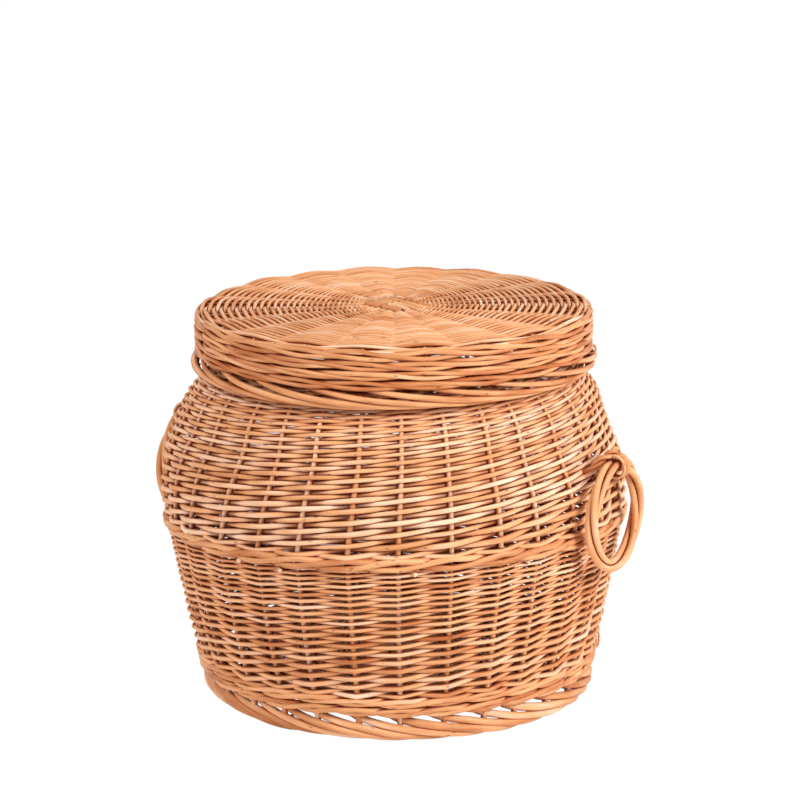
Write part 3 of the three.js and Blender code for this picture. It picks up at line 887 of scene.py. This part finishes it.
class HAMPER_OT_lid_skirt(bpy.types.Operator):
    """Wale the lid's skirt and lay its border"""

    bl_idname = "hamper.lid_skirt"
    bl_label = "Lid skirt and border"

    def execute(self, context):
        sizes = context.scene.hamper_lid
        line = lid_line(sizes.crown)

        def place(s, t, out):
            return line.sample(s, lid_angle(t), out)

        rods = Rods(8, np.random.default_rng(71))
        edge, rod = line.at_radius(LID_EDGE), sizes.skirt_rod
        for course, proud in ((1.0, 0.62), (2.95, 0.8), (4.95, 0.9), (6.95, 0.92)):
            wale(
                rods, place, LID_STAKES, edge + course * rod, rod, sizes.stake_rod, 0.9 * MM,
                proud=proud, inside=0.45, spread=1.06, hue=-0.4,
            )
        for angle, low, high in ((-148.3, 337, 347), (25.3, 344, 353)):
            loose_end(rods, line.rz[-1, 0] + 4 * MM, angle, low, high, out=5.5, rod=2.2)
        tip_lid(rods)
        piece = rods.make("willow_lid_skirt", thick_willow())
        settle(piece, "lid", "buff_willow_thick_rods", "lid_skirt")

        rods = Rods(9, np.random.default_rng(72))
        course = (
            (0, 190, 354), (0.25, 193.6, 350), (0.75, 198.4, 346), (1.4, 200.2, 341.4),
            (2.1, 198.4, 337.6), (2.8, 195, 335.8), (3.4, 191.6, 336.2), (3.9, 189.4, 339),
        )
        rod_border(rods, LID_STAKES, lid_angle, course, sizes.border_rod, 44, hue=-0.3)
        tip_lid(rods)
        piece = rods.make("willow_lid_border", thick_willow())
        settle(piece, "lid", "buff_willow_thick_rods", "lid_border")
        return {"FINISHED"}


class HAMPER_OT_ring_handles(bpy.types.Operator):
    """Wind the two ring handles, three turns of one rod each"""

    bl_idname = "hamper.ring_handles"
    bl_label = "Ring handles"

    def execute(self, context):
        sizes = context.scene.hamper_handles
        laps, twists = 3, 4
        for side, sign in (("right", 1), ("left", -1)):
            lo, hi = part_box("handle_ring_" + side)
            centre = (lo + hi) / 2
            offset = 0.61 * sizes.ring_rod
            ring = (hi.z - lo.z) / 2 - offset - sizes.ring_rod / 2 + 1 * MM
            rods = Rods(12, np.random.default_rng(81 + sign))
            t = np.linspace(0, 1, laps * 72, endpoint=False)
            lap, twist = t * (2 * laps) * math.pi, t * (2 * twists) * math.pi
            reach = ring - offset * np.cos(twist) + ripple(rods.rng, t, 0.5, 0.3 * MM)
            path = np.stack(
                (
                    centre.x + sign * (offset * np.sin(twist) - 0.8 * MM),
                    sign * reach * np.sin(lap),
                    centre.z + reach * np.cos(lap) - 1 * MM,
                ),
                1,
            )
            facing = np.stack((np.zeros(len(t)), sign * np.sin(lap), np.cos(lap)), 1)
            radius = sizes.ring_rod / 2 * (1 + 0.05 * np.cos(t * 2 * math.pi))
            tone = 0.1 + ripple(rods.rng, t, 0.4, 0.35)
            rods.add(path, radius, facing, tone, closed=True)
            piece = rods.make("willow_handle_ring_" + side, thick_willow())
            settle(piece, side + "_ring", "buff_willow_thick_rods", "handle_ring_" + side)
        return {"FINISHED"}


class HAMPER_OT_handle_loops(bpy.types.Operator):
    """Twist the bows and ties that carry the rings"""

    bl_idname = "hamper.handle_loops"
    bl_label = "Handle loops"

    def execute(self, context):
        sizes = context.scene.hamper_handles
        for side, sign in (("right", 1), ("left", -1)):
            lo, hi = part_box("handle_ring_" + side)
            rope = (hi.x - lo.x) / 2
            x, z = abs(lo.x + hi.x) / 2, hi.z - rope
            rods = Rods(8, np.random.default_rng(91 + sign))
            foot = WALL.at_height([z - 3 * MM])
            wall = WALL.sample(foot, np.zeros(1), np.array([-2 * MM]))[0][0]
            rise, half = rope + 1.2 * MM + sizes.bow_rod, 20 * MM
            side_of_arch = [
                (wall[0] - 6 * MM, half * 1.05, wall[2] - 10 * MM),
                (wall[0] + 4 * MM, half, wall[2] - 2 * MM),
                (x - 8 * MM, half * 0.66, z + rise * 0.62),
                (x - 2 * MM, half * 0.26, z + rise * 0.97),
            ]
            other = [(a, -b, c) for a, b, c in reversed(side_of_arch)]
            twisted_pair(rods, smooth_path(side_of_arch + other, 90), sizes.bow_rod, sign)
            coil = rope + 1.4 * MM + sizes.tie_rod / 2
            coiled_tie(rods, x + 0.6 * MM, z, coil, sizes.tie_rod, sign)
            hitch = smooth_path(
                [
                    (x - coil * 0.9, 1.2 * MM, z - coil * 0.45),
                    ((x + wall[0]) / 2 - 2 * MM, 1.0 * MM, z - coil * 0.8),
                    (wall[0], 0.4 * MM, wall[2]),
                ],
                16,
            )
            hitch[:, 0] *= sign
            facing = np.tile((0.0, 1.0, 0.0), (len(hitch), 1))
            rods.add(hitch, sizes.tie_rod / 2, facing, rods.rng.normal(0.1, 0.4))
            piece = rods.make("willow_handle_loop_" + side, thick_willow())
            settle(piece, "basket", "buff_willow_thick_rods", "handle_loop_" + side)
        return {"FINISHED"}


def seen_rays(tree):
    """One for rays that look at the background, in the picture or in a shine."""
    rays = add_node(tree, "ShaderNodeLightPath").outputs
    seen = rays["Is Camera Ray"]
    for other in ("Is Glossy Ray", "Is Transmission Ray"):
        links = {0: seen, 1: rays[other]}
        seen = add_node(tree, "ShaderNodeMath", links, operation="MAXIMUM").outputs[0]
    return seen


def direction(azimuth, elevation):
    """The way from the hamper to a lamp or the camera, by angles in degrees."""
    a, e = math.radians(azimuth), math.radians(elevation)
    return Vector((math.sin(a) * math.cos(e), -math.cos(a) * math.cos(e), math.sin(e)))


class HAMPER_OT_stage(bpy.types.Operator):
    """Set the floor, the light and the camera"""

    bl_idname = "hamper.stage"
    bl_label = "Stage"

    def execute(self, context):
        scene = context.scene
        scene.view_settings.view_transform = "Standard"
        white = (*scene.hamper_colours.backdrop, 1)
        paper_glow, glow_share, room_light = 1.04, 0.95, 0.39

        # Matt white paper: even and pale, so that the hamper stands out with hardly a shadow.
        paper = bpy.data.materials.new("matt white paper")
        paper.use_nodes = True
        tree = paper.node_tree
        tree.nodes.clear()
        seen = seen_rays(tree)
        matt = add_node(tree, "ShaderNodeBsdfDiffuse", {"Color": white}).outputs[0]
        glow = add_node(tree, "ShaderNodeEmission", {"Color": white, "Strength": paper_glow}).outputs[0]
        pale = add_node(tree, "ShaderNodeMixShader", {0: glow_share, 1: matt, 2: glow}).outputs[0]
        both = add_node(tree, "ShaderNodeMixShader", {0: seen, 1: matt, 2: pale}).outputs[0]
        add_node(tree, "ShaderNodeOutputMaterial", {"Surface": both})
        mesh = bpy.data.meshes.new("floor")
        half = 9.0
        corners = [(-half, -half, 0), (half, -half, 0), (half, half, 0), (-half, half, 0)]
        mesh.from_pydata(corners, [], [(0, 1, 2, 3)])
        mesh.materials.append(paper)
        floor = bpy.data.objects.new("floor", mesh)
        scene.collection.objects.link(floor)

        world = bpy.data.worlds.new("studio")
        scene.world = world
        world.use_nodes = True
        tree = world.node_tree
        tree.nodes.clear()
        seen = seen_rays(tree)
        warm = (*scene.hamper_colours.room, 1)
        fill = add_node(tree, "ShaderNodeBackground", {"Color": warm, "Strength": room_light})
        fill = fill.outputs[0]
        back = add_node(tree, "ShaderNodeBackground", {"Color": white, "Strength": 1.0}).outputs[0]
        sky = add_node(tree, "ShaderNodeMixShader", {0: seen, 1: fill, 2: back}).outputs[0]
        add_node(tree, "ShaderNodeOutputWorld", {"Surface": sky})

        aim = Vector((0, 0, 0.22))
        for name, azimuth, elevation, distance, size, power in (
            ("key", 82, 29, 2.6, 0.8, 58),
            ("front", -32, 37, 3.0, 1.6, 41),
        ):
            lamp = bpy.data.lights.new(name, "AREA")
            lamp.energy = power
            lamp.size = size
            light = bpy.data.objects.new(name, lamp)
            back = direction(azimuth, elevation)
            light.location = aim + back * distance
            light.rotation_euler = back.to_track_quat("Z", "Y").to_euler()
            scene.collection.objects.link(light)

        camera = bpy.data.objects.new("camera", bpy.data.cameras.new("camera"))
        camera.data.sensor_width = 36.0
        camera.data.lens = 161.55
        camera.data.clip_end = 60.0
        back = direction(VIEW_AZIMUTH, VIEW_ELEVATION)
        level = math.radians(VIEW_AZIMUTH)
        across = Vector((math.cos(level), math.sin(level), 0))
        turn = (-back).to_track_quat("-Z", "Y").to_matrix()
        turn = turn @ Matrix.Rotation(math.radians(VIEW_ROLL), 3, "Z")
        camera.location = Vector((0, 0, VIEW_HEIGHT)) + across * VIEW_SHIFT + back * VIEW_DISTANCE
        camera.rotation_euler = turn.to_euler()
        scene.collection.objects.link(camera)
        scene.camera = camera
        return {"FINISHED"}


OPERATORS = (
    HAMPER_OT_side_stakes,
    HAMPER_OT_sidings,
    HAMPER_OT_wales,
    HAMPER_OT_borders,
    HAMPER_OT_base,
    HAMPER_OT_lid_top,
    HAMPER_OT_lid_skirt,
    HAMPER_OT_ring_handles,
    HAMPER_OT_handle_loops,
    HAMPER_OT_stage,
)


class HAMPER_PT_sidebar(bpy.types.Panel):
    """Lists the hamper's pieces, sizes and colours."""

    bl_idname = "HAMPER_PT_sidebar"
    bl_label = "Hamper"
    bl_space_type = "VIEW_3D"
    bl_region_type = "UI"
    bl_category = "Hamper"

    def draw(self, context):
        for operator in OPERATORS:
            self.layout.operator(operator.bl_idname)
        for group in ("hamper_basket", "hamper_lid", "hamper_handles", "hamper_colours"):
            box = self.layout.box()
            settings = getattr(context.scene, group)
            for name in settings.__annotations__:
                box.prop(settings, name)


GROUPS = (HamperBasketSizes, HamperLidSizes, HamperHandleSizes, HamperColours)


def register():
    for cls in (*GROUPS, *OPERATORS, HAMPER_PT_sidebar):
        bpy.utils.register_class(cls)
    bpy.types.Scene.hamper_basket = PointerProperty(type=HamperBasketSizes)
    bpy.types.Scene.hamper_lid = PointerProperty(type=HamperLidSizes)
    bpy.types.Scene.hamper_handles = PointerProperty(type=HamperHandleSizes)
    bpy.types.Scene.hamper_colours = PointerProperty(type=HamperColours)


def unregister():
    del bpy.types.Scene.hamper_colours
    del bpy.types.Scene.hamper_handles
    del bpy.types.Scene.hamper_lid
    del bpy.types.Scene.hamper_basket
    for cls in (HAMPER_PT_sidebar, *reversed(OPERATORS), *reversed(GROUPS)):
        bpy.utils.unregister_class(cls)


def main():
    register()
    for operator in OPERATORS:
        group, name = operator.bl_idname.split(".")
        getattr(getattr(bpy.ops, group), name)()


if __name__ == "__main__":
    main()
